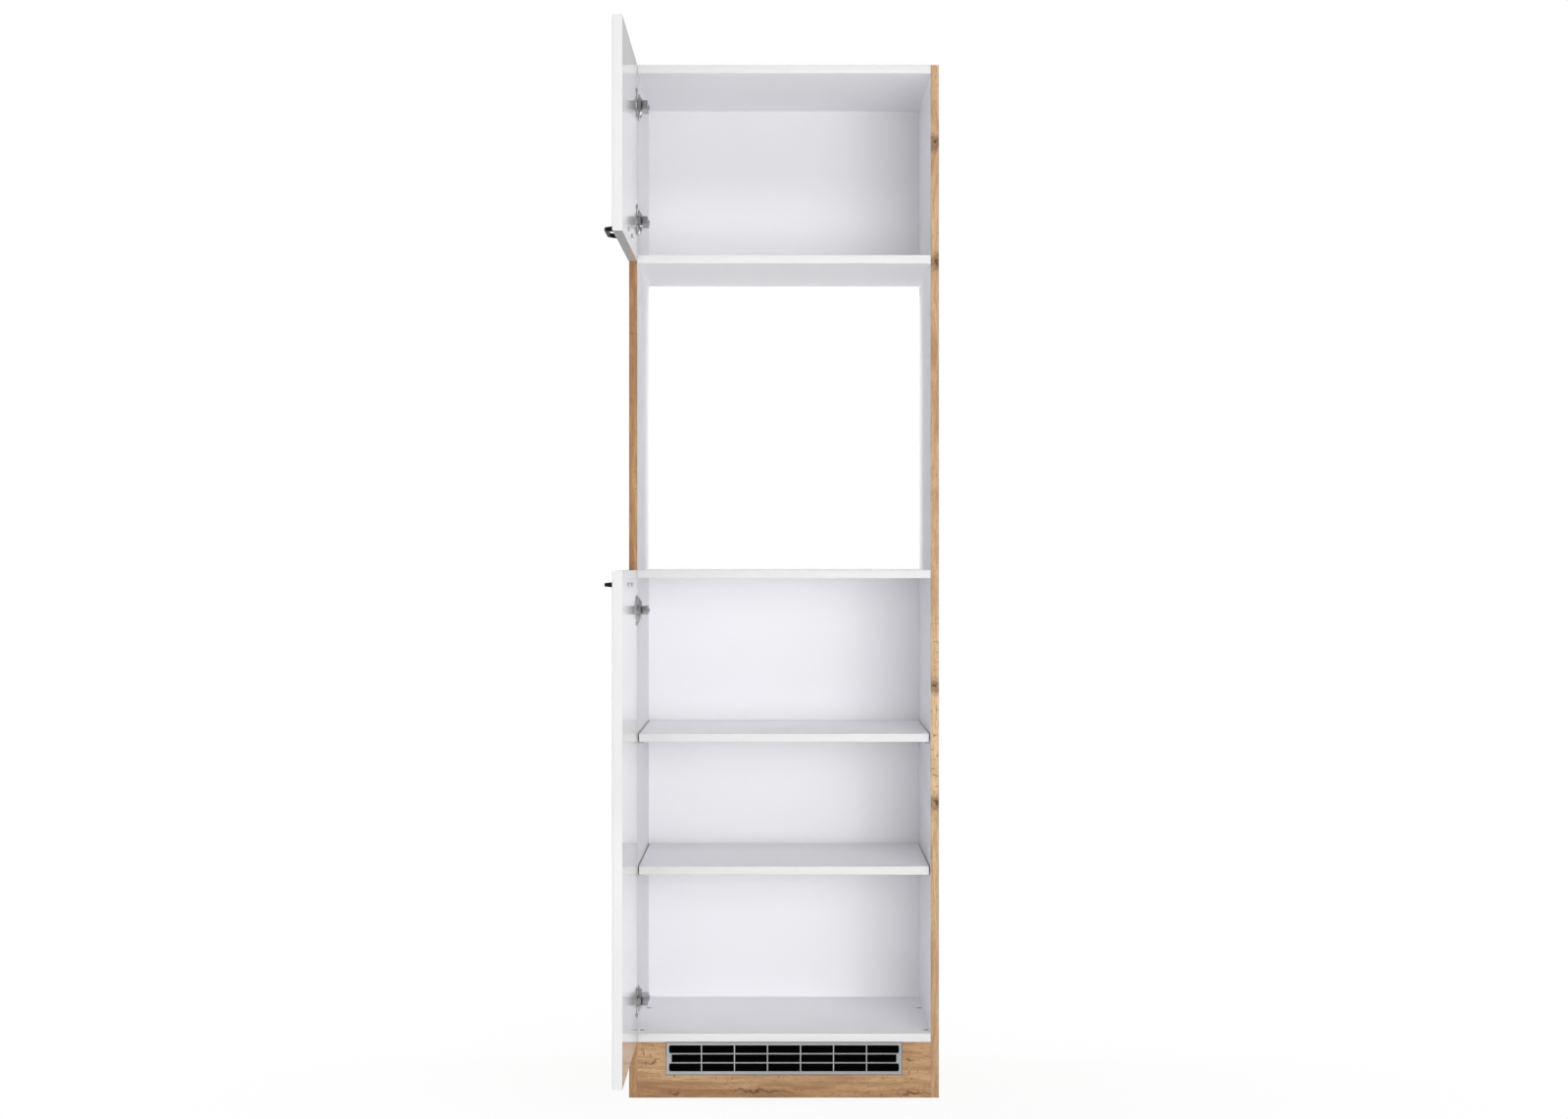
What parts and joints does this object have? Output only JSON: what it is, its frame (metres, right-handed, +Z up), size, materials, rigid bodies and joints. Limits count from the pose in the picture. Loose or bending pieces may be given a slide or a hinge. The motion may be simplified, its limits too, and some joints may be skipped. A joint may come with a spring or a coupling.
{
  "type": "oven housing cabinet",
  "caption": "Tall kitchen cabinet with an open niche for a built-in oven between an upper and a lower hinged door, loose shelves and a ventilated plinth.",
  "frame": {"origin": "on the floor, at the middle of the carcass front (the plinth board's lower front edge)", "axes": "+X to the right seen from the front, +Y to the back, +Z up; the hinges are on the left, and the doors stand open towards -Y"},
  "size_m": [0.6285, 1.1548, 2.02],
  "materials": {
    "decor_board": "oak-look melamine decor on chipboard, satin",
    "white_board": "white melamine on chipboard, satin",
    "white_band": "white edge band, satin",
    "gloss_door": "white high-gloss foil on fibreboard",
    "black_handle": "black powder coat, satin",
    "grille_aluminium": "anodised, brushed",
    "black_louvres": "black moulded plastic",
    "white_plastic": "white moulded plastic",
    "beech": "raw fluted beech",
    "nickel_steel": "nickel-plated",
    "hinge_steel": "nickel-plated sheet, darker",
    "zinc_steel": "zinc-plated",
    "dark_zinc": "dark zinc-plated"
  },
  "bodies": {
    "carcass": {"side_panel_left": "decor_board", "side_panel_right": "decor_board", "top_panel": "white_board", "niche_ceiling": "white_board", "oven_shelf": "white_board", "bottom_panel": "white_board", "plinth_board": "decor_board", "upper_back_panel": "white_board", "lower_back_panel": "white_board", "upper_loose_shelf": "white_board", "lower_loose_shelf": "white_board", "side_edge_bands": "decor_board", "panel_edge_bands": "white_band", "loose_shelf_edge_bands": "white_band", "shelf_pins": "nickel_steel", "connector_housings": "white_plastic", "connector_clamp_screws": "dark_zinc", "connector_bolts": "zinc_steel", "carcass_dowels": "beech", "back_panel_nails": "zinc_steel", "corner_blocks": "white_plastic", "corner_block_screws": "zinc_steel", "grille_frame": "grille_aluminium", "grille_louvres": "black_louvres", "wall_brackets": "zinc_steel", "wall_bracket_screws": "zinc_steel", "hinge_plates": "nickel_steel", "hinge_plate_screws": "nickel_steel", "hinge_arms": "hinge_steel", "hinge_arm_screws": "nickel_steel", "hinge_arm_pins": "nickel_steel"},
    "upper_door": {"upper_door": "gloss_door", "upper_handle": "black_handle", "upper_handle_screws": "zinc_steel", "upper_hinge_cups": "nickel_steel", "upper_cup_screws": "nickel_steel", "upper_cup_pins": "nickel_steel"},
    "lower_door": {"lower_door": "gloss_door", "lower_handle": "black_handle", "lower_handle_screws": "zinc_steel", "lower_hinge_cups": "nickel_steel", "lower_cup_screws": "nickel_steel", "lower_cup_pins": "nickel_steel"},
    "upper_links": {"upper_hinge_links": "hinge_steel"},
    "lower_links": {"lower_hinge_links": "hinge_steel"}
  },
  "joints": [
    {"name": "upper_door_swing", "type": "hinge", "parent": "carcass", "child": "upper_door", "pos_m": [-0.29175, -0.01075, 1.81], "axis": [0, 0, 1], "range_deg": [-20, 90]},
    {"name": "lower_door_swing", "type": "hinge", "parent": "carcass", "child": "lower_door", "pos_m": [-0.29175, -0.01075, 0.566], "axis": [0, 0, 1], "range_deg": [-20, 90]},
    {"name": "upper_link_turn", "type": "hinge", "parent": "upper_door", "child": "upper_links", "pos_m": [-0.28824, -0.01268, 1.81], "axis": [0, 0, 1], "range_deg": [-110, 26]},
    {"name": "lower_link_turn", "type": "hinge", "parent": "lower_door", "child": "lower_links", "pos_m": [-0.28824, -0.01268, 0.566], "axis": [0, 0, 1], "range_deg": [-110, 26]}
  ],
  "couplings": [
    {"joint": "upper_link_turn", "follows": "upper_door_swing", "ratio": -1.2013},
    {"joint": "lower_link_turn", "follows": "lower_door_swing", "ratio": -1.2013}
  ]
}
